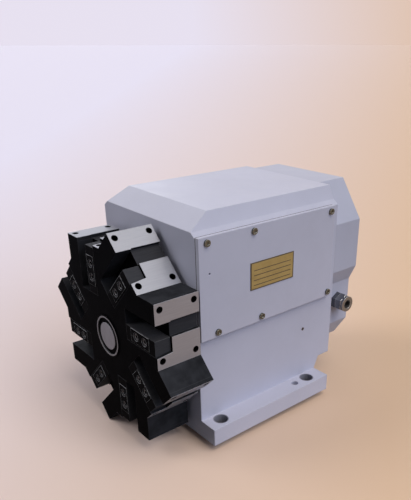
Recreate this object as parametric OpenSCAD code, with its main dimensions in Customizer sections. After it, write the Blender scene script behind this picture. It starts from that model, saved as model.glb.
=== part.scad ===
// Eight-station tool turret for a lathe, in millimetres.
// +X points to the side cover, +Y to the rear, +Z up.
// The origin is the middle of the base's bottom face.

/* [Base] */
// Length of the base, front to rear
base_l = 210; // [204:1:216]
// Width of the base across both flanges
base_w = 260; // [254:1:280]
// Thickness of the base flanges
base_t = 24; // [18:1:28]
// Radius of the four bolt holes in the flanges
base_hole_r = 9; // [6:0.5:9.5]
// Distance between bolt holes, side to side
base_hole_x = 230; // [228:1:236]
// Distance between bolt holes, front to rear
base_hole_y = 159; // [140:1:164]
// From the housing's front face to the first bolt holes
base_hole_front = 22.5; // [18:0.5:28]
// Radius of the dowel holes beside two of the bolt holes
dowel_r = 5; // [3:0.5:6]
// Distance from a dowel hole to its bolt hole
dowel_lead = 24; // [20:1:34]

/* [Housing] */
// Width of the housing between its flat sides
body_w = 206; // [202:1:208]
// Length of the housing, front to rear
body_l = 240; // [236:1:248]
// Height of the front face's top edge above the spindle's axis
edge_rise = 144; // [142:1:150]
// Width of the front face's top edge
edge_w = 190; // [186:1:196]
// Drop from the top edge to the flat sides
shoulder_drop = 6; // [4:1:8]
// Height of the flat roof above the spindle's axis
roof_rise = 162; // [160:1:170]
// Width of the flat roof
roof_w = 172; // [164:1:180]
// Run of the roof's front slope
hip_run = 30; // [20:1:40]
// Height of the underside behind the base
tail_z = 42; // [34:1:44]
// Length of the foot's slope behind the base
tail_run = 8; // [4:1:14]
// Thickness of the side walls
wall = 10; // [8:1:12]
// Thickness of the rear wall
rear_wall = 12; // [10:1:14]
// Height of the inside floor above the base's bottom
floor_z = 34; // [30:1:34]
// Radius of the bore behind the tool disc
bore_r = 82; // [81:0.5:83]
// Thickness of the web that carries the front bush
web_t = 18; // [16:1:20]
// Radius of the oil plug in the housing's side
oil_plug_r = 2.5; // [2:0.5:4]
// Distance from the front face to the oil plug
oil_plug_y = 182; // [150:1:190]
// Height of the oil plug
oil_plug_z = 98; // [80:1:120]

/* [Side cover] */
// Length of the side cover
cover_l = 228; // [224:1:232]
// Height of the side cover
cover_h = 130; // [128:1:132]
// Thickness of the side cover
cover_t = 5; // [3:0.5:7]
// Height of the side cover's bottom edge
cover_z = 140; // [138:1:141]
// Thickness of the gasket behind the side cover
gasket_t = 1; // [0.5:0.1:1.5]
// Width of the rim around the opening behind the side cover
cover_rim = 14; // [13:1:18]
// Distance from the front edge to each screw of the top row
cover_top_y = [12, 83, 220];
// Distance from the front edge to each screw of the bottom row
cover_low_y = [25.5, 97, 222];
// Distance from the cover's long edges to its screws
cover_screw_in = 7; // [6:0.5:8]
// Radius of the cover screws' shanks
cover_screw_r = 2.5; // [2:0.5:3]
// Length of the nameplate
plate_l = 74; // [60:1:90]
// Height of the nameplate
plate_h = 36; // [30:1:44]
// Thickness of the nameplate
plate_t = 0.8; // [0.5:0.1:1.5]
// Distance from the cover's front edge to the nameplate
plate_y = 77.5; // [60:0.5:90]
// Height of the nameplate's bottom edge
plate_z = 187; // [170:1:200]
// Radius of the small blind hole near the cover's front edge
vent_r = 1.2; // [0.8:0.1:2]

/* [Rear hood] */
// Depth of the hood behind the housing
hood_l = 50; // [48:1:56]
// Thickness of the hood's walls
hood_t = 4; // [3:0.5:5]
// Width of the hood's flat top
hood_top_w = 134; // [126:1:142]
// Height where the hood's upper slope meets its side
hood_side_z = 239; // [234:1:244]
// Height where the hood's side turns in
hood_tuck_z = 168; // [160:1:172]
// Width of the neck below the side
hood_neck_w = 184; // [180:1:190]
// Height of the top of the neck
hood_neck_z = 145; // [138:1:150]
// Height of the bottom of the neck
hood_foot_z = 80; // [74:1:86]
// Height of the hood's bottom
hood_low_z = 48; // [44:1:54]
// Width of the hood's bottom
hood_low_w = 142; // [138:1:150]
// Radius of the hood screws' shanks
hood_screw_r = 3; // [2.5:0.5:3.5]
// Height of the gland above the middle of the hood's neck
gland_rise = 3.5; // [0:0.5:4]
// Radius of the gland's thread
gland_r = 10; // [8:0.5:12]
// Length of the gland's body outside the hood
gland_l = 11; // [8:1:16]
// Length of the gland's nut
gland_nut_l = 14; // [10:1:18]

/* [Tool disc] */
// Height of the spindle's axis
spindle_z = 130; // [129:0.5:132]
// Distance from the axis to each tool face
face_r = 116; // [112:1:124]
// Thickness of the tool disc
disc_t = 60; // [56:1:66]
// Gap between the tool disc and the housing's front face
disc_gap = 6.5; // [6:0.1:8]
// Width of the tool slot
slot_w = 20.6; // [20:0.2:24]
// Depth of the tool slot from the disc's front
slot_d = 21; // [18:0.5:24]
// Distance along the face to the far wall of the slot
slot_end = 56; // [54:0.5:60]
// Distance from the axis to the inner end of the slot
slot_in = 50; // [48:1:56]
// Distance along the face to the front of the wedge pocket
pocket_u = 15; // [14:0.5:17]
// Taper of the wedge pocket over its depth
pocket_taper = 2.4; // [1:0.1:3]
// Width of the keyway behind the slot
key_w = 20.6; // [18:0.2:24]
// Depth of the keyway behind the slot
key_d = 5; // [3:0.5:7]
// Distance along the face to the first pair of tapped holes
hole_u = 10; // [9:0.5:11]
// Distance between tapped holes along the face
hole_pitch_u = 64; // [60:0.5:66]
// Distance between tapped holes through the disc
hole_pitch_y = 46; // [42:0.5:48]
// Radius of the tapped holes
hole_r = 3.4; // [2.5:0.1:4.25]
// Depth of the tapped holes
hole_d = 18; // [12:1:22]
// How far the wedge's end lies below the tool face
wedge_drop = 3.5; // [2:0.5:6]
// Length of the raised pad on the wedge's front
pad_l = 39; // [36:0.5:42]
// Width of the raised pad on the wedge's front
pad_w = 17; // [15:0.5:18]
// How far the pad stands out of the disc's front
pad_t = 0.6; // [0.3:0.1:1.5]
// Radius of the wedge screws' shanks
wedge_screw_r = 3; // [2:0.5:3.5]
// Distance from the axis to the inner wedge screw
wedge_screw_at = 72; // [68:1:76]
// Distance between the two wedge screws
wedge_screw_pitch = 18; // [16:1:24]
// Outer radius of the hub ring
hub_r = 28.5; // [25:0.5:32]
// Width of the hub ring
hub_ring_w = 4; // [3:0.5:7]
// Radius of the hub badge
hub_badge_r = 18; // [14:0.5:19]
// Depth of the hub's recess
hub_d = 4; // [3:0.5:6]

/* [Tooth coupling] */
// Number of teeth on the coupling rings
teeth = 24; // [24:24:48]
// Height of the coupling teeth
tooth_h = 4; // [3:0.25:4.5]
// Gap left between the teeth when they are meshed
mesh_gap = 0.3; // [0.3:0.05:0.5]
// Distance from the front face to the tips of the fixed teeth
tooth_y = 12; // [11:0.5:14]
// Inner radius of the moving ring
moving_in_r = 50; // [49.5:0.5:51]
// Inner radius of the teeth
teeth_in_r = 59; // [58.5:0.5:61]
// Outer radius of the moving ring
moving_out_r = 69.5; // [68:0.5:70.5]
// Outer radius of the teeth
teeth_out_r = 80; // [78:0.5:80.5]
// Outer radius of the fixed ring's flange
flange_r = 98; // [96:0.5:100]
// Thickness of the fixed ring's flange
flange_t = 5; // [4:0.5:5.5]
// Radius of the fixed ring's screw circle
flange_ring_r = 90; // [88.5:0.5:91]
// Opening between the teeth when the lock ring is drawn back
lock_open = 1.8; // [1:0.1:3]
// Thickness of the lock ring behind its teeth
lock_t = 26; // [22:1:30]
// Radius of the lock ring's guide pins
guide_r = 3; // [2:0.5:3.5]
// Radius of the circle of guide pins
guide_ring_r = 75; // [74:0.5:76]

/* [Spindle and drive] */
// Radius of the spindle's nose in the tool disc
nose_r = 30; // [26:1:32]
// Length of the spindle's nose
nose_l = 12; // [8:1:16]
// Radius of the spindle's flange
spindle_flange_r = 48; // [47:0.5:49]
// Radius of the spindle in the front bush
journal_r = 35; // [34:0.5:36]
// Wall of the front bush
bush_t = 8; // [5:0.5:8]
// Wall of the sleeve around the front bush
sleeve_t = 8; // [7:0.5:8.5]
// Radius of the spindle in the rear bush
tail_r = 25; // [22:0.5:27]
// Wall of the rear bush
rear_bush_t = 6; // [4:0.5:7]
// Module of the gears
gear_m = 3; // [2.9:0.05:3.05]
// Teeth on the drive gear
gear_teeth = 48; // [44:4:48]
// Teeth on the motor pinion
pinion_teeth = 16; // [12:4:16]
// Width of the gears
gear_t = 18; // [14:1:22]
// Radius of the motor
motor_r = 45; // [40:1:46]
// Length of the motor in front of its flange
motor_front_l = 112; // [100:1:120]
// Length of the motor behind its flange
motor_rear_l = 34; // [28:1:35]
// Radius of the motor's shaft
motor_shaft_r = 9; // [7:0.5:11]
// Radius of the index wheel
wheel_r = 55; // [52:1:58]
// Thickness of the index wheel
wheel_t = 10; // [8:1:14]
// Depth of the notches in the index wheel
notch_d = 7; // [6.5:0.5:8]
// Radius of the index pin
pin_r = 4; // [3:0.5:5]
// Radius of the encoder
encoder_r = 29; // [24:1:31]
// Length of the encoder
encoder_l = 28; // [20:1:34]

/* [Clearances] */
// Radial clearance of running fits
fit = 0.05; // [0.03:0.01:0.08]
// Gap between pieces that move past each other
gap = 0.4; // [0.3:0.05:0.5]
// Radial clearance around screws and in plain seats
slack = 0.1; // [0.05:0.05:0.2]
// Radial clearance of pieces seated in bores
seat = 0.02; // [0.01:0.01:0.05]

/* [Hidden] */
$fn = 64;
stations = 8;
pitch = 360 / stations;
front_y = -base_l / 2;

// How far a cutting shape runs past the face it cuts
past = 1;
// Radius of a screw's head over its shank's
head_ratio = 1.65;
// Depth of tapped holes in the housing's walls
tap_d = 9;
// How far screws stop short of the ends of their holes
tap_rest = 1;

// Heights and half widths of the housing
edge_z = spindle_z + edge_rise;
roof_z = spindle_z + roof_rise;
shoulder_z = edge_z - shoulder_drop;
cover_x = body_w / 2 + gasket_t;
cover_face_x = cover_x + cover_t;
rear_y = body_l - rear_wall;

// Places along the spindle, from the front face
lock_tip_y = tooth_y + lock_open;
lock_root_y = lock_tip_y + tooth_h;
lock_rear_y = lock_root_y + lock_t;
lock_lip = 5;
web_front = lock_rear_y + gap;
web_rear = web_front + web_t;
sleeve_front = lock_root_y + 4;
spindle_shoulder = 9;
bush_r = journal_r + bush_t;
sleeve_r = bush_r + sleeve_t;
lock_in_r = sleeve_r + 6;
gear_front = web_rear + 4;
spacer_l = 14;
wheel_front = gear_front + gear_t + spacer_l;
wheel_mid_y = wheel_front + wheel_t / 2;
nut_front = wheel_front + wheel_t;
nut_t = 12;
seat_r = journal_r - 2;
thread_r = seat_r - 3;
spindle_end = body_l + 6;
stub_r = 6;
stub_l = 14;

// Opening behind the side cover, its length and height
window = [rear_y - web_rear - 2 * cover_rim, cover_h - 2 * cover_rim];
cover_screw_l = cover_t + gasket_t + tap_d;
vent_at = [15, 225];
vent_d = 3;

// Drive
motor_z = spindle_z + gear_m * (gear_teeth + pinion_teeth) / 2;
motor_flange_t = 10;
motor_flange_w = 100;
motor_screw_at = 42;
motor_screw_r = 3;
shaft_in = 38;
shaft_out = 2;
fins = 24;
fin_gap = 3;
fin_rest = 4;
backlash = 0.35;
key_size = 8;
gear_recess = 4;

// Disc stations
tip_u = face_r * sin(pitch);
clamp_u = slot_end - slot_w;
slot_floor = disc_t - slot_d;
wedge_u = (pocket_u + pocket_taper + clamp_u) / 2;
wedge_sink = 2 * wedge_screw_r + 0.5;
wedge_screw_l = slot_d + 12;
disc_screws = 8;
disc_screw_r = 3;
disc_screw_ring_r = 41.5;
disc_screw_l = 36;
disc_screw_y = spindle_shoulder - 2 * disc_screw_r;
hub_proud = 1;
hub_cap_t = hub_d - 1;

// Coupling rings
tooth_land = 0.5;
root_t = 1;
shelf_y = tooth_y - tooth_h - root_t;
ring_screws = 8;
ring_screw_r = 2;
ring_screw_y = shelf_y - 2 * ring_screw_r;
ring_screw_in = 12;
moving_screw_ring_r = (moving_in_r + teeth_in_r) / 2;
flange_screw_r = 3;
flange_screw_in = 14;
flange_seat = 2;
seal_in_r = moving_out_r + 4;
seal_w = 5;
seal_in = 2;

// Small pieces
coil_in_r = sleeve_r + 2;
coil_out_r = guide_ring_r - guide_r - 3;
coil_l = 9;
guides = 4;
guide_phase = 45;
guide_out = 18;
guide_in = web_t - 4;
solenoid = [40, 36, 30];
solenoid_floor = 8;
switch_r = 6;
switch_x = 34;
switch_in = 10;
switch_gap = 2;
switch_nut = [switch_r + 3.5, 5];
hood_boss_r = 7.5;
hood_screws_at = [[90, 205], [64, 72]];
hood_sink = 2 * hood_screw_r + 1;
gland_y = body_l + hood_l / 2;
gland_z = (hood_neck_z + hood_foot_z) / 2 + gland_rise;
gland_hex_r = gland_r + 3.5;
gland_bore_r = gland_r - 3;
gland_in = hood_t + 6;
gland_collar = 4;
cup_l = spindle_end - body_l + 6;
cup_t = 3;

FIXED = ["housing", "side_cover", "side_cover_gasket", "side_cover_screws", "nameplate", "rear_hood",
    "hood_screws", "gland_body", "gland_nut", "gland_seal", "coupling_fixed", "coupling_fixed_screws",
    "disc_seal", "front_bush", "rear_bush", "release_coil", "guide_pins", "motor_body", "motor_screws",
    "solenoid_body", "index_switch", "encoder_body", "oil_plug"];
TURNING = ["spindle", "tool_disc", "disc_screws_rear", "hub_ring", "hub_cap", "hub_badge",
    "coupling_moving", "coupling_moving_screws", "drive_gear", "drive_key", "gear_spacer",
    "index_wheel", "spindle_nut"];
DRIVEN = ["motor_shaft", "motor_pinion", "coupling_lock", "lock_springs", "index_pin"];
WEDGES = [for (k = [1:stations]) str("wedge_", k)];
WEDGE_SCREWS = [for (k = [1:stations]) str("wedge_screws_", k)];

// Colours
paint = [0.66, 0.67, 0.76];
black_oxide = [0.07, 0.07, 0.08];
ground_steel = [0.80, 0.79, 0.80];
dark_steel = [0.30, 0.30, 0.32];
bronze = [0.72, 0.52, 0.28];
gold = [0.72, 0.60, 0.28];
rubber = [0.05, 0.05, 0.05];
copper = [0.70, 0.40, 0.25];
motor_grey = [0.35, 0.37, 0.40];

// Frames

// Local z runs rearwards along the spindle, from a distance behind the front face
module on_axis(d) translate([0, front_y + d, spindle_z]) rotate([-90, 0, 0]) children();

// Local z runs rearwards along the motor's shaft
module on_motor(d) translate([0, front_y + d, motor_z]) rotate([-90, 0, 0]) children();

// Local x and y as seen from the front, local z from the disc's rear face to its front
module in_disc() translate([0, front_y - disc_gap, spindle_z]) rotate([90, 0, 0]) children();

// Local x out of station k's tool face, local y along the face
module in_station(k) in_disc() rotate([0, 0, (k - 1) * pitch]) children();

// An outline of y and z drawn through the width x
module across(x) translate([x, 0, 0]) rotate([90, 0, 90]) children();

// An outline of x and z drawn through a length, from d behind the front face
module lengthwise(d, l) {
    translate([0, front_y + d + l, 0]) rotate([90, 0, 0]) linear_extrude(l) children();
}

// Common shapes

module ring(r_in, r_out, h) {
    difference() {
        cylinder(r = r_out, h = h);
        translate([0, 0, -past]) cylinder(r = r_in, h = h + 2 * past);
    }
}

module circle_of(n, r, phase = 0) {
    for (k = [0:n - 1]) rotate([0, 0, phase + k * 360 / n]) translate([r, 0, 0]) children();
}

// A socket screw: its head above z = 0, its shank below
module socket_screw(r, l) {
    difference() {
        union() {
            translate([0, 0, -l]) cylinder(r = r, h = l);
            cylinder(r = head_ratio * r, h = 2 * r);
        }
        translate([0, 0, r]) cylinder(r = r, h = 2 * r, $fn = 6);
    }
}

// The hole for a socket screw, with its counterbore
module screw_hole(r, l) {
    translate([0, 0, -l - past]) cylinder(r = r + slack, h = l + 2 * past);
    cylinder(r = head_ratio * r + 2 * slack, h = 3 * r);
}

// A polygon moved inwards by t, corner by corner; its corners run anticlockwise
function inward(a, b) = [-(b - a)[1], (b - a)[0]] / norm(b - a);
function inset(p, t) = [for (i = [0:len(p) - 1])
    let (a = p[(i + len(p) - 1) % len(p)], b = p[i], c = p[(i + 1) % len(p)])
    let (m = inward(a, b), n = inward(b, c))
    b + t * (m + n) / (1 + m * n)];

// Gear outline with involute flanks
function roll(base, r) = sqrt(max(0, pow(r / base, 2) - 1)) * 180 / PI;
function turned(base, r) = roll(base, r) - atan(roll(base, r) * PI / 180);
function flank(n, r) =
    let (base = gear_m * n / 2 * cos(20), half = 90 / n - backlash / (gear_m * n) * 180 / PI)
    half + turned(base, gear_m * n / 2) - turned(base, max(r, base));
function tooth_radii(n) = [for (d = [-1.25, -0.4, 0, 0.5, 1]) gear_m * (n / 2 + d)];
function gear_points(n) = [for (k = [0:n - 1]) for (s = [-1, 1]) for (i = [0:4])
    let (r = tooth_radii(n)[s < 0 ? i : 4 - i])
    let (a = k * 360 / n + s * flank(n, r))
    r * [cos(a), sin(a)]];

// Fixed pieces

function body_section() = [
    [-body_w / 2, 0], [body_w / 2, 0], [body_w / 2, shoulder_z], [edge_w / 2, edge_z],
    [roof_w / 2, roof_z], [-roof_w / 2, roof_z], [-edge_w / 2, edge_z], [-body_w / 2, shoulder_z]];

function body_side() = [
    [0, 0], [base_l, 0], [base_l, base_t], [base_l + tail_run, tail_z], [body_l, tail_z],
    [body_l, roof_z], [hip_run, roof_z], [0, edge_z]];

module base_holes() {
    for (sx = [-1, 1]) {
        for (y = [0, base_hole_y]) {
            translate([sx * base_hole_x / 2, front_y + base_hole_front + y, -past])
                cylinder(r = base_hole_r, h = base_t + 2 * past);
        }
    }
    dowel_y = [base_hole_y - dowel_lead, dowel_lead];
    for (i = [0, 1]) {
        translate([(1 - 2 * i) * base_hole_x / 2, front_y + base_hole_front + dowel_y[i], -past])
            cylinder(r = dowel_r, h = base_t + 2 * past);
    }
}

module chamber() {
    half = body_w / 2 - wall;
    translate([-half, front_y + web_rear, floor_z])
        cube([2 * half, base_l - wall - web_rear, shoulder_z - wall - floor_z]);
    translate([-half, front_y + web_rear, tail_z + wall])
        cube([2 * half, rear_y - web_rear, shoulder_z - wall - tail_z - wall]);
    translate([-(roof_w / 2 - wall), front_y + web_rear, tail_z + wall])
        cube([roof_w - 2 * wall, rear_y - web_rear, roof_z - rear_wall - tail_z - wall]);
}

// One frame per cover screw, local z out of the cover
module cover_screw_places() {
    for (y = cover_top_y) place_on_cover(y, cover_z + cover_h - cover_screw_in) children();
    for (y = cover_low_y) place_on_cover(y, cover_z + cover_screw_in) children();
}

module place_on_cover(y, z) translate([cover_face_x, front_y + y, z]) rotate([0, 90, 0]) children();

module rear_wall_holes() {
    on_motor(rear_y - past) cylinder(r = motor_r + 1, h = rear_wall + 2 * past);
    on_axis(rear_y - past) cylinder(r = tail_r + rear_bush_t, h = rear_wall + 2 * past);
    motor_screw_places() translate([0, 0, -motor_flange_t - tap_d])
        cylinder(r = motor_screw_r + slack, h = tap_d + past);
    hood_screw_places() translate([0, 0, -hood_l - tap_d])
        cylinder(r = hood_screw_r + slack, h = tap_d + past);
}

module housing() {
    color(paint) difference() {
        union() {
            difference() {
                union() {
                    intersection() {
                        lengthwise(0, body_l) polygon(body_section());
                        across(-body_w) linear_extrude(2 * body_w)
                            translate([front_y, 0]) polygon(body_side());
                    }
                    translate([-base_w / 2, front_y, 0]) cube([base_w, base_l, base_t]);
                }
                on_axis(-past) cylinder(r = bore_r, h = web_front + past);
                chamber();
            }
            on_axis(sleeve_front) cylinder(r = sleeve_r, h = web_front - sleeve_front + past);
        }
        base_holes();
        on_axis(sleeve_front - past) cylinder(r = bush_r, h = web_rear - sleeve_front + 2 * past);
        on_axis(web_front - past) ring(coil_in_r, coil_out_r, coil_l + past);
        on_axis(web_front - past) circle_of(guides, guide_ring_r, guide_phase)
            cylinder(r = guide_r + seat, h = guide_in + past);
        on_axis(-past) circle_of(ring_screws, flange_ring_r, pitch / 2)
            cylinder(r = flange_screw_r + slack, h = flange_screw_in + past);
        translate([body_w / 2 - wall - past, front_y + web_rear + cover_rim, cover_z + cover_rim])
            cube([wall + 2 * past, window[0], window[1]]);
        cover_screw_places() translate([0, 0, -cover_screw_l])
            cylinder(r = cover_screw_r + slack, h = cover_screw_l);
        rear_wall_holes();
        translate([body_w / 2, front_y + oil_plug_y, oil_plug_z]) rotate([0, -90, 0])
            translate([0, 0, -past]) cylinder(r = oil_plug_r, h = tap_d + past);
        translate([switch_x, front_y + wheel_mid_y, floor_z - switch_in])
            cylinder(r = switch_r + seat, h = switch_in + past);
    }
}

module oil_plug() {
    plug_l = tap_d - tap_rest;
    color(dark_steel) translate([body_w / 2, front_y + oil_plug_y, oil_plug_z]) rotate([0, -90, 0])
        difference() {
            cylinder(r = oil_plug_r - seat, h = plug_l);
            translate([0, 0, -past]) cylinder(r = oil_plug_r / 2, h = past + oil_plug_r, $fn = 6);
        }
}

module cover_sheet(x, t) {
    difference() {
        translate([x, front_y, cover_z]) cube([t, cover_l, cover_h]);
        cover_screw_places() translate([0, 0, -cover_screw_l])
            cylinder(r = cover_screw_r + slack, h = 2 * cover_screw_l);
    }
}

module side_cover() {
    color(paint) difference() {
        cover_sheet(cover_x, cover_t);
        place_on_cover(vent_at[0], vent_at[1]) translate([0, 0, -vent_d])
            cylinder(r = vent_r, h = vent_d + past);
    }
}

module side_cover_gasket() {
    color(rubber) difference() {
        cover_sheet(body_w / 2, gasket_t);
        translate([0, front_y + web_rear + cover_rim, cover_z + cover_rim])
            cube([body_w, window[0], window[1]]);
    }
}

module side_cover_screws() {
    color(bronze) cover_screw_places() difference() {
        union() {
            translate([0, 0, tap_rest - cover_screw_l])
                cylinder(r = cover_screw_r, h = cover_screw_l - tap_rest);
            cylinder(r = head_ratio * cover_screw_r, h = cover_screw_r);
        }
        translate([0, 0, cover_screw_r / 2]) cylinder(r = cover_screw_r, h = cover_screw_r, $fn = 6);
    }
}

module nameplate() {
    color(gold) translate([cover_face_x, front_y + plate_y, plate_z]) cube([plate_t, plate_l, plate_h]);
}

function hood_section() = let (half = [
    [hood_low_w / 2, hood_low_z], [hood_neck_w / 2, hood_foot_z], [hood_neck_w / 2, hood_neck_z],
    [body_w / 2, hood_tuck_z], [body_w / 2, hood_side_z], [hood_top_w / 2, roof_z]])
    concat(half, [for (i = [5:-1:0]) [-half[i][0], half[i][1]]]);

// One frame per hood screw, local z out of the hood's rear
module hood_screw_places() {
    for (sx = [-1, 1]) {
        for (p = hood_screws_at) {
            translate([sx * p[0], front_y + body_l + hood_l, p[1]]) rotate([90, 0, 180]) children();
        }
    }
}

module rear_hood() {
    color(paint) difference() {
        union() {
            difference() {
                lengthwise(body_l, hood_l) polygon(hood_section());
                lengthwise(body_l - past, hood_l - hood_t + past) polygon(inset(hood_section(), hood_t));
            }
            hood_screw_places() translate([0, 0, -hood_l]) cylinder(r = hood_boss_r, h = hood_l);
        }
        hood_screw_places() translate([0, 0, -hood_sink]) screw_hole(hood_screw_r, hood_l);
        gland_frame() translate([0, 0, -hood_t - past])
            cylinder(r = gland_r + slack, h = hood_t + 2 * past);
    }
}

module hood_screws() {
    color(dark_steel) hood_screw_places() translate([0, 0, -hood_sink])
        socket_screw(hood_screw_r, hood_l - hood_sink + tap_d - tap_rest);
}

// Local z out of the hood's neck, along the gland
module gland_frame() translate([hood_neck_w / 2, front_y + gland_y, gland_z]) rotate([0, 90, 0]) children();

module gland_body() {
    color(dark_steel) gland_frame() difference() {
        union() {
            cylinder(r = gland_hex_r, h = gland_l - gland_collar, $fn = 6);
            translate([0, 0, -gland_in]) cylinder(r = gland_r, h = gland_in + gland_l + gland_collar);
        }
        translate([0, 0, -gland_in - past]) cylinder(r = gland_bore_r, h = gland_in + gland_l + gland_nut_l);
    }
}

module gland_nut() {
    color(dark_steel) gland_frame() translate([0, 0, gland_l - gland_collar + slack]) difference() {
        union() {
            cylinder(r = gland_hex_r, h = gland_nut_l - gland_collar, $fn = 6);
            cylinder(r = gland_hex_r * cos(30), h = gland_nut_l);
        }
        translate([0, 0, -past]) cylinder(r = gland_r + slack, h = gland_nut_l - gland_collar + past);
        translate([0, 0, -past]) cylinder(r = gland_bore_r, h = gland_nut_l + 2 * past);
    }
}

module gland_seal() {
    color(rubber) gland_frame() translate([0, 0, gland_l - gland_collar])
        ring(gland_bore_r - 2, gland_bore_r - slack, gland_nut_l - slack);
}

// Straight grooves between coupling teeth, cut down from z = 0
module tooth_grooves(phase) {
    top = PI * teeth_in_r / teeth - tooth_land / 2;
    bottom = PI * teeth_out_r / teeth + mesh_gap - top;
    for (k = [0:teeth - 1]) {
        rotate([0, 0, (k + phase) * 360 / teeth]) translate([teeth_in_r - past, 0, 0]) rotate([90, 0, 90])
            linear_extrude(teeth_out_r - teeth_in_r + 3 * past) polygon([
                [-bottom, -tooth_h], [bottom, -tooth_h], [top, 0], [top, past], [-top, past], [-top, 0]]);
    }
}

module flange_screw_places() {
    circle_of(ring_screws, flange_ring_r, pitch / 2) translate([0, 0, -flange_t]) children();
}

module coupling_fixed() {
    in_r = moving_out_r + gap;
    color(ground_steel) on_axis(0) difference() {
        union() {
            translate([0, 0, -flange_t]) ring(in_r, flange_r, flange_t);
            translate([0, 0, -past]) ring(in_r, bore_r - fit, shelf_y + past);
            translate([0, 0, -past]) ring(in_r, teeth_out_r, tooth_y + past);
        }
        translate([0, 0, tooth_y]) tooth_grooves(0);
        flange_screw_places() translate([0, 0, -past])
            cylinder(r = flange_screw_r + slack, h = flange_t + 2 * past);
        flange_screw_places() translate([0, 0, -past])
            cylinder(r = head_ratio * flange_screw_r + slack, h = past + flange_t - flange_seat);
        translate([0, 0, -flange_t - past]) ring(seal_in_r, seal_in_r + seal_w, past + seal_in);
    }
}

module coupling_fixed_screws() {
    head_t = flange_t - flange_seat - slack;
    color(dark_steel) on_axis(0) flange_screw_places() difference() {
        union() {
            translate([0, 0, slack]) cylinder(r = head_ratio * flange_screw_r, h = head_t);
            translate([0, 0, slack]) cylinder(r = flange_screw_r, h = flange_t + flange_screw_in - tap_rest);
        }
        cylinder(r = flange_screw_r, h = head_t / 2, $fn = 6);
    }
}

module disc_seal() {
    color(rubber) on_axis(-disc_gap + gap)
        ring(seal_in_r + slack, seal_in_r + seal_w - slack, disc_gap - gap - flange_t + seal_in);
}

module front_bush() {
    color(bronze) on_axis(sleeve_front) ring(journal_r + fit, bush_r - seat, web_rear - sleeve_front);
}

module rear_bush() {
    color(bronze) on_axis(rear_y) ring(tail_r + fit, tail_r + rear_bush_t - seat, rear_wall);
}

module release_coil() {
    color(copper) on_axis(web_front) ring(coil_in_r + slack, coil_out_r - slack, coil_l);
}

module guide_pins() {
    color(ground_steel) on_axis(web_front - guide_out) circle_of(guides, guide_ring_r, guide_phase)
        cylinder(r = guide_r, h = guide_out + guide_in);
}

// One frame per motor screw, local z out of the motor's flange to the rear
module motor_screw_places() {
    for (sx = [-1, 1]) {
        for (sz = [-1, 1]) {
            translate([sx * motor_screw_at, front_y + body_l + motor_flange_t, motor_z + sz * motor_screw_at])
                rotate([90, 0, 180]) children();
        }
    }
}

module motor_body() {
    color(motor_grey) difference() {
        union() {
            on_motor(body_l - motor_front_l)
                cylinder(r = motor_r, h = motor_front_l + motor_flange_t + motor_rear_l);
            translate([-motor_flange_w / 2, front_y + body_l, motor_z - motor_flange_w / 2])
                cube([motor_flange_w, motor_flange_t, motor_flange_w]);
        }
        on_motor(body_l - motor_front_l - past) cylinder(r = motor_shaft_r + fit, h = shaft_in + 2 * past);
        on_motor(body_l + motor_flange_t + fin_rest) circle_of(fins, motor_r)
            translate([-fin_gap, -fin_gap / 2, 0]) cube([2 * fin_gap, fin_gap, motor_rear_l - 2 * fin_rest]);
        motor_screw_places() translate([0, 0, -motor_flange_t - past])
            cylinder(r = motor_screw_r + slack, h = motor_flange_t + 2 * past);
    }
}

module motor_screws() {
    color(dark_steel) motor_screw_places() socket_screw(motor_screw_r, motor_flange_t + tap_d - tap_rest);
}

module solenoid_body() {
    color(dark_steel) translate([0, front_y + wheel_mid_y, floor_z]) difference() {
        translate([-solenoid[0] / 2, -solenoid[1] / 2, 0]) cube(solenoid);
        translate([0, 0, solenoid_floor]) cylinder(r = pin_r + fit, h = solenoid[2]);
    }
}

module index_switch() {
    tip_z = spindle_z - sqrt(pow(wheel_r, 2) - pow(switch_x - switch_r, 2)) - switch_gap;
    color(dark_steel) translate([switch_x, front_y + wheel_mid_y, floor_z]) {
        translate([0, 0, -switch_in]) cylinder(r = switch_r, h = tip_z - floor_z + switch_in);
        cylinder(r = switch_nut[0], h = switch_nut[1], $fn = 6);
    }
}

module encoder_body() {
    color(motor_grey) on_axis(body_l) difference() {
        union() {
            cylinder(r = tail_r + rear_bush_t + 2 * cup_t, h = cup_l);
            translate([0, 0, cup_l - past]) cylinder(r = encoder_r, h = encoder_l + past);
        }
        translate([0, 0, -past]) cylinder(r = tail_r + rear_bush_t, h = cup_l - cup_t + past);
        cylinder(r = stub_r + fit, h = spindle_end - body_l + stub_l + past);
    }
}

// Turning pieces

module spindle() {
    nose_y = -disc_gap - nose_l;
    color(ground_steel) on_axis(0) difference() {
        rotate_extrude() polygon([
            [0, nose_y], [nose_r - 1, nose_y], [nose_r, nose_y + 1], [nose_r, -disc_gap],
            [spindle_flange_r, -disc_gap], [spindle_flange_r, spindle_shoulder],
            [journal_r, spindle_shoulder], [journal_r, gear_front], [seat_r, gear_front],
            [seat_r, nut_front], [thread_r, nut_front],
            [thread_r, nut_front + nut_t + 2], [tail_r, nut_front + nut_t + 2], [tail_r, spindle_end],
            [stub_r, spindle_end], [stub_r, spindle_end + stub_l], [0, spindle_end + stub_l]]);
        circle_of(disc_screws, disc_screw_ring_r) translate([0, 0, disc_screw_y])
            screw_hole(disc_screw_r, disc_screw_l);
        key_block(0, past);
    }
}

// The key between the spindle and the drive gear, wider by a clearance and taller by a rise
module key_block(clear, rise) {
    translate([seat_r - key_size / 2, -key_size / 2 - clear, gear_front - clear])
        cube([key_size - 1 + rise, key_size + 2 * clear, gear_t + 2 * clear]);
}

module drive_key() color(dark_steel) on_axis(0) key_block(0, 0);

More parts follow.
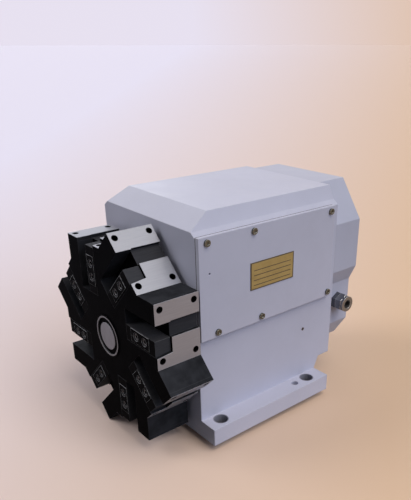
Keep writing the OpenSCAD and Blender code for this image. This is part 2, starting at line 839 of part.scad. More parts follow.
module drive_gear() {
    boss_r = seat_r + 12;
    rim_r = gear_m * gear_teeth / 2 - 10;
    color(dark_steel) on_axis(gear_front) difference() {
        linear_extrude(gear_t) polygon(gear_points(gear_teeth));
        translate([0, 0, -past]) cylinder(r = seat_r + seat, h = gear_t + 2 * past);
        translate([0, 0, -past]) ring(boss_r, rim_r, gear_recess + past);
        translate([0, 0, gear_t - gear_recess]) ring(boss_r, rim_r, gear_recess + past);
        translate([0, 0, -gear_front]) key_block(slack, slack);
    }
}

module gear_spacer() {
    color(dark_steel) on_axis(gear_front + gear_t) ring(seat_r + slack, seat_r + 7, spacer_l);
}

module index_wheel() {
    half = pin_r + gap;
    color(dark_steel) on_axis(wheel_front) difference() {
        ring(seat_r + slack, wheel_r, wheel_t);
        for (k = [0:stations - 1]) rotate([0, 0, k * pitch])
            translate([wheel_r - notch_d, -half, -past]) cube([notch_d + past, 2 * half, wheel_t + 2 * past]);
    }
}

module spindle_nut() {
    color(dark_steel) on_axis(nut_front) difference() {
        ring(thread_r + slack, seat_r + 9, nut_t);
        for (k = [0:3]) rotate([0, 0, k * 90])
            translate([seat_r + key_size / 2, -key_size / 2, -past])
                cube([2 * key_size, key_size, nut_t + 2 * past]);
    }
}

module land_holes() {
    for (u = [hole_u, hole_u + hole_pitch_u]) {
        for (s = [-1, 1]) {
            translate([face_r + past, u, disc_t / 2 + s * hole_pitch_y / 2]) rotate([0, -90, 0])
                cylinder(r = hole_r, h = hole_d + past);
        }
    }
}

module wedge_screw_places() {
    for (r = [wedge_screw_at, wedge_screw_at + wedge_screw_pitch]) {
        translate([r, wedge_u, disc_t - wedge_sink]) children();
    }
}

module station_cuts() {
    reach = face_r - slot_in + past;
    translate([slot_in, 0, 0]) rotate([90, 0, 90]) linear_extrude(reach) polygon([
        [pocket_u, disc_t + past], [pocket_u, disc_t], [pocket_u + pocket_taper, slot_floor],
        [slot_end, slot_floor], [slot_end, disc_t + past]]);
    translate([face_r - key_d, slot_end + 1 - key_w, -past])
        cube([key_d + past, key_w, slot_floor + 2 * past]);
    land_holes();
    wedge_screw_places() translate([0, 0, -wedge_screw_l - tap_rest])
        cylinder(r = wedge_screw_r + slack, h = wedge_screw_l + tap_rest);
}

function disc_outline() = [for (k = [0:stations - 1]) for (u = [0, tip_u])
    let (a = k * pitch) [face_r * cos(a) - u * sin(a), face_r * sin(a) + u * cos(a)]];

module tool_disc() {
    color(black_oxide) in_disc() difference() {
        linear_extrude(disc_t) polygon(disc_outline());
        for (k = [0:stations - 1]) rotate([0, 0, k * pitch]) station_cuts();
        translate([0, 0, -past]) cylinder(r = nose_r + seat, h = nose_l + past);
        translate([0, 0, disc_t - hub_d]) cylinder(r = hub_r, h = hub_d + past);
        circle_of(disc_screws, disc_screw_ring_r) translate([0, 0, -past])
            cylinder(r = disc_screw_r + slack, h = disc_screw_l - disc_screw_y - disc_gap + tap_rest + past);
        circle_of(ring_screws, moving_screw_ring_r) translate([0, 0, -past])
            cylinder(r = ring_screw_r + slack, h = ring_screw_in + tap_rest + past);
    }
}

module disc_screws_rear() {
    color(dark_steel) on_axis(disc_screw_y) circle_of(disc_screws, disc_screw_ring_r)
        socket_screw(disc_screw_r, disc_screw_l);
}

module hub_ring() {
    color(ground_steel) in_disc() translate([0, 0, disc_t - hub_d])
        ring(hub_r - hub_ring_w, hub_r - seat, hub_d + hub_proud);
}

module hub_cap() {
    color(black_oxide) in_disc() translate([0, 0, disc_t - hub_d])
        cylinder(r = hub_r - hub_ring_w - seat, h = hub_cap_t);
}

module hub_badge() {
    color(ground_steel) in_disc() translate([0, 0, disc_t - hub_d + hub_cap_t])
        cylinder(r = hub_badge_r, h = hub_proud + hub_proud / 2);
}

module coupling_moving() {
    color(ground_steel) on_axis(0) difference() {
        translate([0, 0, -disc_gap]) union() {
            ring(moving_in_r, moving_out_r, disc_gap + shelf_y);
            ring(teeth_in_r, moving_out_r, disc_gap + tooth_y);
        }
        translate([0, 0, tooth_y]) tooth_grooves(0);
        circle_of(ring_screws, moving_screw_ring_r) translate([0, 0, ring_screw_y])
            screw_hole(ring_screw_r, ring_screw_y + disc_gap);
    }
}

module coupling_moving_screws() {
    color(dark_steel) on_axis(ring_screw_y) circle_of(ring_screws, moving_screw_ring_r)
        socket_screw(ring_screw_r, ring_screw_y + disc_gap + ring_screw_in);
}

// Pieces with their own motion

module motor_shaft() {
    shaft_front = gear_front - shaft_out;
    color(ground_steel) on_motor(shaft_front)
        cylinder(r = motor_shaft_r, h = body_l - motor_front_l - shaft_front + shaft_in);
}

module motor_pinion() {
    color(dark_steel) on_motor(gear_front) difference() {
        linear_extrude(gear_t) rotate(180 / pinion_teeth) polygon(gear_points(pinion_teeth));
        translate([0, 0, -past]) cylinder(r = motor_shaft_r + seat, h = gear_t + 2 * past);
    }
}

module coupling_lock() {
    color(ground_steel) on_axis(lock_tip_y) difference() {
        union() {
            ring(teeth_in_r, teeth_out_r, tooth_h + lock_lip);
            translate([0, 0, tooth_h + root_t]) ring(sleeve_r + gap, bore_r - fit, lock_lip - root_t);
            translate([0, 0, tooth_h + root_t]) ring(lock_in_r, bore_r - fit, lock_t - root_t);
        }
        mirror([0, 0, 1]) tooth_grooves(0.5);
        circle_of(guides, guide_ring_r, guide_phase) translate([0, 0, tooth_h + lock_t - guide_out - past])
            cylinder(r = guide_r + fit, h = guide_out + 2 * past);
    }
}

// A stack of coned spring washers
module lock_springs() {
    washers = 4;
    t = 1.5;
    rest = mesh_gap / 4;
    front = lock_root_y + lock_lip;
    step = (lock_rear_y - front) / washers;
    in_r = sleeve_r + gap;
    out_r = lock_in_r - gap;
    rise = step - t - 2 * rest;
    color(dark_steel) on_axis(front) for (k = [0:washers - 1]) {
        lean = k % 2 == 0 ? [rest, rest + rise] : [rest + rise, rest];
        translate([0, 0, k * step]) rotate_extrude() polygon([
            [in_r, lean[0]], [out_r, lean[1]], [out_r, lean[1] + t], [in_r, lean[0] + t]]);
    }
}

module index_pin() {
    pin_low = floor_z + solenoid_floor + 2;
    pin_l = spindle_z - wheel_r - gap - pin_low;
    lead = 1;
    color(ground_steel) translate([0, front_y + wheel_mid_y, pin_low]) {
        cylinder(r = pin_r, h = pin_l - lead);
        translate([0, 0, pin_l - lead]) cylinder(r1 = pin_r, r2 = pin_r - lead, h = lead);
    }
}

module wedge(k) {
    reach = face_r - wedge_drop - slot_in - gap;
    pad_mid = wedge_screw_at + wedge_screw_pitch / 2;
    color(dark_steel) in_station(k) difference() {
        union() {
            translate([slot_in + gap, 0, 0]) rotate([90, 0, 90]) linear_extrude(reach) polygon([
                [pocket_u + gap, disc_t], [pocket_u + pocket_taper + gap, slot_floor + gap],
                [clamp_u, slot_floor + gap], [clamp_u, disc_t]]);
            translate([pad_mid - pad_l / 2, wedge_u - pad_w / 2, disc_t - past])
                cube([pad_l, pad_w, past + pad_t]);
        }
        wedge_screw_places() screw_hole(wedge_screw_r, slot_d);
    }
}

module wedge_screws(k) {
    color(black_oxide) in_station(k) wedge_screw_places() socket_screw(wedge_screw_r, wedge_screw_l);
}

housing();
side_cover();
side_cover_gasket();
side_cover_screws();
nameplate();
rear_hood();
hood_screws();
gland_body();
gland_nut();
gland_seal();
coupling_fixed();
coupling_fixed_screws();
disc_seal();
front_bush();
rear_bush();
release_coil();
guide_pins();
motor_body();
motor_screws();
solenoid_body();
index_switch();
encoder_body();
oil_plug();
spindle();
tool_disc();
disc_screws_rear();
hub_ring();
hub_cap();
hub_badge();
coupling_moving();
coupling_moving_screws();
drive_gear();
drive_key();
gear_spacer();
index_wheel();
spindle_nut();
motor_shaft();
motor_pinion();
coupling_lock();
lock_springs();
index_pin();
for (k = [1:stations]) {
    wedge(k);
    wedge_screws(k);
}
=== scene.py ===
import math

import bpy
from mathutils import Matrix, Vector


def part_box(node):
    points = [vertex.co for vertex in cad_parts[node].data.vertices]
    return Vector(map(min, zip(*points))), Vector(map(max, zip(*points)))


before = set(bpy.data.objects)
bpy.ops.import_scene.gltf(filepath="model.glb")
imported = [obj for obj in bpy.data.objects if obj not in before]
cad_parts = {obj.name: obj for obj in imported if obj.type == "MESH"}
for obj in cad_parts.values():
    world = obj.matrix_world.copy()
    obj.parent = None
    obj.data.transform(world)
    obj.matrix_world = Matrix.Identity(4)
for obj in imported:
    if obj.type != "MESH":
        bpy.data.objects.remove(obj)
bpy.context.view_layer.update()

# Places and sizes in metres, in the CAD frame, whose origin is the middle of the foot's bottom
DISC_LOW, DISC_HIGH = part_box("tool_disc")
HOUSING_LOW, HOUSING_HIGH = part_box("housing")
SPINDLE_Z = (DISC_LOW.z + DISC_HIGH.z) / 2
FLOOR_Z = min(DISC_LOW.z, 0.0)
FOOT_REAR = -HOUSING_LOW.y
FOOT_TOP = 0.024
STATION_STEP = math.radians(45)
# From the spindle's axis out to a tool face, to the keyway's floor below it and to a wedge's end
KEYWAY_DEPTH = 0.005
WEDGE_DROP = 0.0035
FACE_R = 0.116
KEYWAY_R = FACE_R - KEYWAY_DEPTH
WEDGE_R = FACE_R - WEDGE_DROP
# How near to those a point of the disc, or of a wedge, counts as lying there
FACE_REACH = 0.00025
WEDGE_REACH = 0.0003
# Halfway up the raised pad on a wedge's front
PAD_T = 0.0006
PAD_Y = DISC_LOW.y - PAD_T / 2
# Four holes each, as the middle between them and half their spacing: along a tool face and Y, or X and Y
TOOL_HOLES = ((0.042, (DISC_LOW.y + DISC_HIGH.y) / 2), (0.032, 0.023))
BOLT_HOLES = ((0.0, -0.003), (0.115, 0.0795))
# Painted shade in and round holes: a tapped hole's dark mouth, and a bolt hole's darkened rim with half the
# width of its soft border
TOOL_MOUTH_R = 0.0041
BOLT_RIM_R = 0.0102
BOLT_RIM_SOFT = 0.0003

# Finishes that several materials share
BLACKENED = (0.003, 0.003, 0.0035)
BLACK_GLOSS = 0.003
FINE_DEPTH = 0.00004
GRAIN_DEPTH = 0.00005
FINE_EDGE = 0.0006
# Most of a noise's values lie between these two
NOISE_SPAN = (0.2, 0.8)


# Shader node helpers

# A Mix node's sockets, by what it mixes: factor, first value, second value and result
MIX_SOCKETS = {"RGBA": (0, 6, 7, 2), "FLOAT": (0, 2, 3, 0)}
# How far the true and the rounded normal agree where an edge's wear begins and where it is full
EDGE_SPAN = (0.99, 0.80)
# The normal's Y where a face begins to count as a front face and where it is one
FRONT_SPAN = (-0.8, -0.95)


def new_material(name):
    m = bpy.data.materials.new(name)
    m.use_nodes = True
    return m, m.node_tree, m.node_tree.nodes["Principled BSDF"]


def add(nt, kind, **settings):
    n = nt.nodes.new("ShaderNode" + kind)
    for key, value in settings.items():
        setattr(n, key, value)
    return n


def feed(nt, node, values):
    """Links another node's outputs to a node's sockets, or sets numbers and colours on them."""
    for key, value in values.items():
        socket = node.inputs[key]
        if isinstance(value, bpy.types.NodeSocket):
            nt.links.new(value, socket)
        elif socket.type == "RGBA":
            socket.default_value = (*value, 1)
        else:
            socket.default_value = value


def place(nt, stretch=(1, 1, 1)):
    """Object coordinates in metres, stretched along the axes."""
    mapping = add(nt, "Mapping")
    feed(nt, mapping, {"Vector": add(nt, "TexCoord").outputs["Object"], "Scale": stretch})
    return mapping.outputs["Vector"]


def noise(nt, vector, scale, detail, rough=0.55):
    n = add(nt, "TexNoise")
    feed(nt, n, {"Vector": vector, "Scale": scale, "Detail": detail, "Roughness": rough})
    return n.outputs["Fac"]


def remap(nt, value, start, end, at_start=0.0, at_end=1.0):
    n = add(nt, "MapRange")
    feed(nt, n, {"Value": value, "From Min": start, "From Max": end, "To Min": at_start, "To Max": at_end})
    return n.outputs["Result"]


def patches(nt, vector, scale, detail, start, full, least=0.0, most=1.0, rough=0.55):
    """Noise as a mask: least where it lies below start, most where it lies above full."""
    return remap(nt, noise(nt, vector, scale, detail, rough), start, full, least, most)


def math_node(nt, op, *values, clamp=False):
    n = add(nt, "Math", operation=op, use_clamp=clamp)
    feed(nt, n, dict(enumerate(values)))
    return n.outputs["Value"]


def multiply(nt, a, b):
    return math_node(nt, "MULTIPLY", a, b)


def near(nt, value, target, reach):
    """1 where a value is within reach of a target."""
    return math_node(nt, "COMPARE", value, target, reach)


def any_of(nt, first, *others):
    """1 where any of several masks is 1."""
    for other in others:
        first = math_node(nt, "MAXIMUM", first, other)
    return first


def hypotenuse(nt, a, b):
    squares = [math_node(nt, "POWER", side, 2.0) for side in (a, b)]
    return math_node(nt, "SQRT", math_node(nt, "ADD", *squares))


def mix_kind(nt, kind, *values):
    n = add(nt, "Mix", data_type=kind)
    *sockets, result = MIX_SOCKETS[kind]
    feed(nt, n, dict(zip(sockets, values)))
    return n.outputs[result]


def mix(nt, fac, a, b):
    return mix_kind(nt, "RGBA", fac, a, b)


def mix_value(nt, fac, a, b):
    return mix_kind(nt, "FLOAT", fac, a, b)


def split(nt, vector):
    n = add(nt, "SeparateXYZ")
    feed(nt, n, {"Vector": vector})
    return n.outputs


def rounded(nt, radius):
    """A normal that rounds the edges, and a mask that is 1 along them."""
    bevel = add(nt, "Bevel", samples=6)
    feed(nt, bevel, {"Radius": radius})
    agreement = add(nt, "VectorMath", operation="DOT_PRODUCT")
    feed(nt, agreement, {0: bevel.outputs["Normal"], 1: add(nt, "NewGeometry").outputs["Normal"]})
    return bevel.outputs["Normal"], remap(nt, agreement.outputs["Value"], *EDGE_SPAN)


def bump(nt, bsdf, height, distance, normal=None, strength=0.5):
    n = add(nt, "Bump")
    feed(nt, n, {"Strength": strength, "Distance": distance, "Height": height})
    if normal is not None:
        feed(nt, n, {"Normal": normal})
    feed(nt, bsdf, {"Normal": n.outputs["Normal"]})


def shade(colour, factor):
    return tuple(min(1, c * factor) for c in colour)


# Masks that follow the part's shape

def front_face(nt):
    """1 on faces that look to the front."""
    return remap(nt, split(nt, add(nt, "NewGeometry").outputs["Normal"])["Y"], *FRONT_SPAN)


def from_four(nt, a, b, centre, half):
    """Distance from the nearest of four holes set out in a rectangle."""
    sides = []
    for value, middle, spacing in zip((a, b), centre, half):
        offset = math_node(nt, "ABSOLUTE", math_node(nt, "SUBTRACT", value, middle))
        sides.append(math_node(nt, "SUBTRACT", offset, spacing))
    return hypotenuse(nt, *sides)


def from_axis(nt, v):
    """A point's place beside and above the spindle's axis, and its distance from the axis."""
    s = split(nt, v)
    above = math_node(nt, "SUBTRACT", s["Z"], SPINDLE_Z)
    return s["X"], above, hypotenuse(nt, s["X"], above)


def station(nt, v):
    """A point's place at its station of the disc: out towards the tool face, and along that face."""
    beside, above, r = from_axis(nt, v)
    angle = math_node(nt, "ADD", math_node(nt, "ARCTAN2", above, beside), math.pi)
    turn = math_node(nt, "FLOORED_MODULO", angle, STATION_STEP)
    return [multiply(nt, r, math_node(nt, op, turn)) for op in ("COSINE", "SINE")]


def bolt_hole_shade(nt, v):
    """1 inside the bolt holes of the foot and on rims around them, where the enamel gets painted shade."""
    just_above_foot = FOOT_TOP + 0.0005
    s = split(nt, v)
    distance = from_four(nt, s["X"], s["Y"], *BOLT_HOLES)
    rim = remap(nt, distance, BOLT_RIM_R - BOLT_RIM_SOFT, BOLT_RIM_R + BOLT_RIM_SOFT, 1.0, 0.0)
    return multiply(nt, rim, math_node(nt, "LESS_THAN", s["Z"], just_above_foot))


# Materials

def enamel(name, colour, worn, rough=0.42, peel=0.00006, painted_shade=None):
    """Sprayed enamel on a casting: orange peel, faint blotches, edges rubbed a little paler."""
    m, nt, b = new_material(name)
    v = place(nt)
    normal, edge = rounded(nt, radius=0.0014)
    blotch = patches(nt, v, scale=9, detail=5, start=0.3, full=0.7)
    dust = patches(nt, v, scale=60, detail=6, start=0.45, full=0.75, most=0.35, rough=0.7)
    rub = patches(nt, v, scale=140, detail=3, start=0.42, full=0.62, least=0.05, most=0.55)
    roughness = patches(nt, v, scale=35, detail=4, start=0.3, full=0.7, least=rough - 0.05, most=rough + 0.07)
    base = mix(nt, blotch, shade(colour, 0.96), shade(colour, 1.035))
    base = mix(nt, dust, base, shade(colour, 1.06))
    base = mix(nt, multiply(nt, edge, rub), base, worn)
    # Painted shade: the enamel darkens to 0.42 of its colour where the mask is 1.
    if painted_shade:
        base = mix(nt, painted_shade(nt, v), base, shade(colour, 0.42))
    feed(nt, b, {"Base Color": base, "Roughness": roughness, "Specular IOR Level": 0.25})
    bump(nt, b, noise(nt, v, scale=420, detail=2), peel, normal, strength=0.6)
    return m


def steel(name, colour, rough, streak=(1, 1, 1), depth=FINE_DEPTH, metallic=1.0, worn=None, wear=0.4,
          gloss=0.5):
    """Machined steel: fine streaks along one way, faint stains, edges rubbed bright."""
    m, nt, b = new_material(name)
    grain = noise(nt, place(nt, streak), scale=900, detail=3)
    stain = patches(nt, place(nt), scale=30, detail=5, start=0.35, full=0.7)
    normal, edge = rounded(nt, FINE_EDGE)
    base = mix(nt, grain, shade(colour, 0.88), shade(colour, 1.12))
    base = mix(nt, multiply(nt, stain, 0.25), base, shade(colour, 0.72))
    base = mix(nt, multiply(nt, edge, wear), base, worn or shade(colour, 1.35))
    roughness = remap(nt, grain, *NOISE_SPAN, rough - 0.07, rough + 0.1)
    feed(nt, b, {"Base Color": base, "Metallic": metallic,
                 "Roughness": roughness, "Specular IOR Level": gloss})
    bump(nt, b, grain, depth, normal)
    return m


def moulded(name, colour, rough):
    """Rubber: fine pebble and dust."""
    m, nt, b = new_material(name)
    v = place(nt)
    pebble = noise(nt, v, scale=300, detail=3)
    dust = patches(nt, v, scale=40, detail=5, start=0.35, full=0.7)
    dusty = tuple(c * 1.5 + 0.01 for c in colour)
    roughness = remap(nt, pebble, *NOISE_SPAN, rough - 0.06, rough + 0.08)
    feed(nt, b, {"Base Color": mix(nt, dust, colour, dusty), "Roughness": roughness})
    bump(nt, b, pebble, GRAIN_DEPTH)
    return m


def disc_material():
    """Black oxide with ground tool faces; the front faces and the tapped holes get painted shade, a much
    darker black than the milled flanks, and the edges are paler, partly rubbed wear and partly painted
    highlight.
    """
    m, nt, b = new_material("turret_black_oxide")
    v = place(nt)
    normal, edge = rounded(nt, radius=0.0007)
    mill = noise(nt, place(nt, (1, 0.06, 1)), scale=700, detail=3)
    cloud = patches(nt, v, scale=45, detail=5, start=0.3, full=0.7)
    rub = patches(nt, v, scale=160, detail=3, start=0.4, full=0.62, least=0.1, most=0.7)

    out, along = station(nt, v)
    mouth = math_node(nt, "LESS_THAN", from_four(nt, along, split(nt, v)["Y"], *TOOL_HOLES), TOOL_MOUTH_R)
    ground = math_node(nt, "SUBTRACT", near(nt, out, FACE_R, FACE_REACH), mouth, clamp=True)
    keyway = near(nt, out, KEYWAY_R, FACE_REACH)
    front = front_face(nt)

    flank = mix(nt, cloud, (0.0140, 0.0148, 0.0175), (0.036, 0.038, 0.044))
    # Near-black for painted shade on the front faces and in the tapped holes
    painted_shade_black = mix(nt, cloud, (0.0014, 0.0015, 0.0019), (0.0030, 0.0032, 0.0039))
    keyway_steel = mix(nt, mill, (0.030, 0.031, 0.035), (0.054, 0.055, 0.062))
    ground_steel = mix(nt, mill, (0.290, 0.298, 0.335), (0.370, 0.379, 0.422))
    edge_wear_and_highlight = (0.16, 0.16, 0.17)
    black = mix(nt, keyway, flank, keyway_steel)
    # Painted shade: front faces and tapped holes far darker than the flanks
    black = mix(nt, any_of(nt, front, mouth), black, painted_shade_black)
    # Paler edges: partly rubbed wear, partly painted highlight
    black = mix(nt, multiply(nt, multiply(nt, edge, rub), 0.6), black, edge_wear_and_highlight)

    black_metal = mix_value(nt, keyway, remap(nt, front, 0, 1, 0.16, 0.0), 0.1)
    black_rough = remap(nt, mill, *NOISE_SPAN, 0.36, 0.5)
    ground_rough = remap(nt, mill, *NOISE_SPAN, 0.38, 0.52)
    feed(nt, b, {"Base Color": mix(nt, ground, black, ground_steel),
                 "Metallic": mix_value(nt, ground, black_metal, 0.55),
                 "Roughness": mix_value(nt, ground, black_rough, ground_rough),
                 "Specular IOR Level": BLACK_GLOSS})
    bump(nt, b, mill, GRAIN_DEPTH, normal)
    return m


def wedge_material():
    """Blackened wedge: its front faces get painted shade, a far darker black than its sides, and its raised
    front pad a bright rim, partly rubbed wear and partly painted highlight.
    """
    m, nt, b = new_material("turret_wedge_steel")
    v = place(nt)
    normal, edge = rounded(nt, radius=0.0012)
    grain = noise(nt, place(nt, (1, 0.1, 1)), scale=800, detail=3)
    rub = patches(nt, v, scale=260, detail=3, start=0.35, full=0.6, least=0.3)

    front = front_face(nt)
    end = near(nt, station(nt, v)[0], WEDGE_R, WEDGE_REACH)
    on_pad = math_node(nt, "LESS_THAN", split(nt, v)["Y"], PAD_Y)
    # The pad's bright rim: partly rubbed wear, partly painted highlight.
    rim = multiply(nt, multiply(nt, edge, rub), remap(nt, on_pad, 0, 1, 0.12, 1.0))

    side_steel = mix(nt, grain, (0.026, 0.026, 0.030), (0.052, 0.052, 0.057))
    end_steel = mix(nt, grain, (0.034, 0.035, 0.040), (0.060, 0.062, 0.069))
    # Near-black painted shade for the front faces
    front_painted_shade = mix(nt, grain, (0.0018, 0.0019, 0.0023), (0.0045, 0.0046, 0.0054))
    rim_wear_and_highlight = (0.66, 0.67, 0.69)
    base = mix(nt, front, mix(nt, end, side_steel, end_steel), front_painted_shade)
    feed(nt, b, {"Base Color": mix(nt, rim, base, rim_wear_and_highlight),
                 "Metallic": remap(nt, front, 0, 1, 0.1, 0.0),
                 "Roughness": remap(nt, grain, *NOISE_SPAN, 0.34, 0.5),
                 "Specular IOR Level": 0.004})
    bump(nt, b, grain, GRAIN_DEPTH, normal)
    return m


def turned_material(name, dark, light, bright_r=1.0):
    """A steel face turned on a lathe: fine rings about the spindle's axis, blackened outside a radius."""
    m, nt, b = new_material(name)
    v = place(nt)
    r = from_axis(nt, v)[2]
    outwards = add(nt, "CombineXYZ")
    feed(nt, outwards, {"X": r})
    rings = noise(nt, outwards.outputs["Vector"], scale=1500, detail=3)
    normal, edge = rounded(nt, FINE_EDGE)
    stain = patches(nt, v, scale=90, detail=4, start=0.35, full=0.7)
    base = mix(nt, rings, dark, light)
    base = mix(nt, multiply(nt, stain, 0.3), base, shade(dark, 0.75))
    base = mix(nt, multiply(nt, edge, 0.5), base, shade(light, 1.6))
    outside = math_node(nt, "GREATER_THAN", r, bright_r)
    feed(nt, b, {"Base Color": mix(nt, outside, base, BLACKENED),
                 "Metallic": mix_value(nt, outside, 0.7, 0.0),
                 "Roughness": remap(nt, rings, *NOISE_SPAN, 0.30, 0.46),
                 "Specular IOR Level": BLACK_GLOSS})
    bump(nt, b, rings, FINE_DEPTH, normal)
    return m


def nameplate_material():
    """Brass plate with a dark border and a few ruled lines, as on a blank form."""
    # Shares of the plate's length or height, the first three from its middle outwards
    border_along, border_up, rule_along = 0.478, 0.462, 0.43
    rule_heights = (0.16, 0.34, 0.52, 0.70)
    rule_half = 0.016

    m, nt, b = new_material("turret_nameplate_gold")
    v = place(nt)
    normal = rounded(nt, radius=0.0005)[0]
    grain = noise(nt, place(nt, (1, 0.05, 1)), scale=900, detail=3)
    tarnish = patches(nt, v, scale=70, detail=4, start=0.45, full=0.75, most=0.45)

    low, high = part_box("nameplate")
    s = split(nt, v)
    along = remap(nt, s["Y"], low.y, high.y)
    height = remap(nt, s["Z"], low.z, high.z)
    edges = []
    for share, clear in ((along, border_along), (height, border_up)):
        off_middle = math_node(nt, "ABSOLUTE", math_node(nt, "SUBTRACT", share, 0.5))
        edges.append(math_node(nt, "GREATER_THAN", off_middle, clear))
    rules = any_of(nt, *(near(nt, height, at, rule_half) for at in rule_heights))
    rules = multiply(nt, rules, near(nt, along, 0.5, rule_along))
    ink = any_of(nt, any_of(nt, *edges), rules)

    tarnished = (0.27, 0.21, 0.08)
    ink_colour = (0.055, 0.045, 0.035)
    gold = mix(nt, grain, (0.34, 0.272, 0.108), (0.46, 0.375, 0.165))
    gold = mix(nt, tarnish, gold, tarnished)
    feed(nt, b, {"Base Color": mix(nt, multiply(nt, ink, 0.88), gold, ink_colour),
                 "Metallic": mix_value(nt, ink, 0.6, 0.1),
                 "Roughness": remap(nt, grain, *NOISE_SPAN, 0.38, 0.52)})
    bump(nt, b, math_node(nt, "SUBTRACT", grain, ink), 0.00006, normal)
    return m


# The hub ring is bright inside this radius
RING_BRIGHT_R = 0.935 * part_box("hub_ring")[1].x

# The housing's enamel gets painted shade in and round the foot's bolt holes.
PAINT = enamel("turret_enamel", (0.545, 0.555, 0.665), (0.70, 0.71, 0.78), painted_shade=bolt_hole_shade)
COVER_PAINT = enamel("turret_cover_enamel", (0.565, 0.570, 0.675), (0.72, 0.72, 0.78),
                     rough=0.40, peel=0.00004)
# The hood's enamel is a darker copy of the housing's: painted shade.
HOOD_PAINT = enamel("turret_hood_enamel", (0.490, 0.505, 0.610), (0.66, 0.67, 0.74),
                    rough=0.40, peel=0.00005)
MOTOR_PAINT = enamel("turret_motor_enamel", (0.10, 0.11, 0.12), (0.3, 0.3, 0.3))
DISC = disc_material()
WEDGE = wedge_material()
GROUND = steel("turret_ground_steel", (0.72, 0.71, 0.72), rough=0.34, streak=(1, 0.08, 1))
RING = turned_material("turret_turned_ring", (0.125, 0.128, 0.14), (0.20, 0.205, 0.22), RING_BRIGHT_R)
BADGE = turned_material("turret_turned_badge", (0.165, 0.17, 0.19), (0.255, 0.262, 0.29))
NAMEPLATE = nameplate_material()
DARK = steel("turret_dark_steel", (0.13, 0.13, 0.14), rough=0.42)
BLACK = steel("turret_black_plate", BLACKENED, rough=0.5, metallic=0.0, gloss=BLACK_GLOSS)
SCREW = steel("turret_black_screw", (0.030, 0.030, 0.033), rough=0.42, metallic=0.7,
              worn=(0.50, 0.50, 0.52), wear=0.85)
OLIVE = steel("turret_plated_screw", (0.128, 0.132, 0.118), rough=0.42, worn=(0.46, 0.46, 0.42), wear=0.7)
# The gland's paler edges, strongest on the nut, are partly rubbed wear and partly painted highlight.
GLAND = steel("turret_gland_body", (0.13, 0.135, 0.15), rough=0.36, streak=(0.1, 1, 1),
              worn=(0.5, 0.5, 0.52), wear=0.6)
GLAND_NUT = steel("turret_gland_nut", (0.24, 0.245, 0.26), rough=0.32, streak=(0.1, 1, 1),
                  worn=(0.78, 0.78, 0.80), wear=0.8)
BRONZE = steel("turret_bronze", (0.60, 0.44, 0.22), rough=0.38)
COPPER = steel("turret_winding", (0.45, 0.20, 0.10), rough=0.5, streak=(1, 0.1, 1),
               depth=0.0001, metallic=0.6)
RUBBER = moulded("turret_rubber", (0.018, 0.018, 0.019), rough=0.75)

LOOKS = {
    "housing": PAINT, "side_cover": COVER_PAINT, "rear_hood": HOOD_PAINT,
    "motor_body": MOTOR_PAINT, "encoder_body": MOTOR_PAINT, "tool_disc": DISC, "hub_cap": BLACK,
    "side_cover_screws": OLIVE, "nameplate": NAMEPLATE, "front_bush": BRONZE, "rear_bush": BRONZE,
    "release_coil": COPPER, "side_cover_gasket": RUBBER, "gland_seal": RUBBER, "disc_seal": RUBBER,
    "gland_body": GLAND, "gland_nut": GLAND_NUT, "hub_ring": RING, "hub_badge": BADGE,
    "coupling_fixed": GROUND, "coupling_moving": GROUND, "coupling_lock": GROUND, "spindle": GROUND,
    "guide_pins": GROUND, "motor_shaft": GROUND, "index_pin": GROUND,
}
for name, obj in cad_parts.items():
    look = LOOKS.get(name, DARK)
    if name.startswith("wedge_screws"):
        look = SCREW
    elif name.startswith("wedge_"):
        look = WEDGE
    obj.data.materials.clear()
    obj.data.materials.append(look)


# Stage

# The stage's colour goes from lilac to peach, to the right and, by this share, to the rear
LILAC = (0.86, 0.83, 0.95)
PEACH = (0.78, 0.56, 0.385)
REAR_SHARE = 0.72
WARM_SPAN = (-0.96, 0.29)
# How the colours spread out with distance, and the light on the floor, which the sky's colours match
FADE = 0.4
LIT = (0.935, 0.91, 0.92)
# What the floor throws back on the part: little, and more in a strip along the side cover
THROWN_BACK = (0.04, 0.038, 0.036)
THROWN_BESIDE = (0.60, 0.46, 0.37)
STRIP_INNER_X = (0.10, 0.14)
STRIP_OUTER_X = (0.22, 0.36)
STRIP_FRONT_Y = (-0.13, -0.08)
FLOOR_REACH = 150.0
# A low block, set back out of sight, that carries the foot above the floor
PLINTH_INSET = 0.03
PLINTH_TOP = -0.0002


def across(nt, vector):
    """How far a place lies to the right and to the rear."""
    s = split(nt, vector)
    return math_node(nt, "ADD", s["X"], multiply(nt, s["Y"], REAR_SHARE))


def warmth(nt, value, light=(1, 1, 1)):
    """The stage's colour at a place across it, under a light."""
    cool, warm = (tuple(c * l for c, l in zip(colour, light)) for colour in (LILAC, PEACH))
    return mix(nt, remap(nt, value, *WARM_SPAN), cool, warm)


def shown(nt):
    """1 where the camera sees a surface, straight on or in gloss, and 0 for the light it throws back."""
    path = add(nt, "LightPath").outputs
    total = math_node(nt, "ADD", path["Is Camera Ray"], path["Is Glossy Ray"])
    return math_node(nt, "ADD", total, path["Is Transmission Ray"], clamp=True)


def stage_material(name):
    """Pale, and warmer to the right; it throws back little light, except beside the cover."""
    m, nt, b = new_material(name)
    v = place(nt)
    s = split(nt, v)
    far = add(nt, "VectorMath", operation="LENGTH")
    feed(nt, far, {0: v})
    spread = math_node(nt, "ADD", multiply(nt, far.outputs["Value"], FADE), 1.0)
    pale = warmth(nt, math_node(nt, "DIVIDE", across(nt, v), spread))
    strip = multiply(nt, remap(nt, s["X"], *STRIP_INNER_X), remap(nt, s["X"], *STRIP_OUTER_X, 1.0, 0.0))
    strip = multiply(nt, strip, remap(nt, s["Y"], *STRIP_FRONT_Y))
    thrown = mix(nt, strip, THROWN_BACK, THROWN_BESIDE)
    feed(nt, b, {"Base Color": mix(nt, shown(nt), thrown, pale), "Roughness": 0.9, "Specular IOR Level": 0.1})
    return m


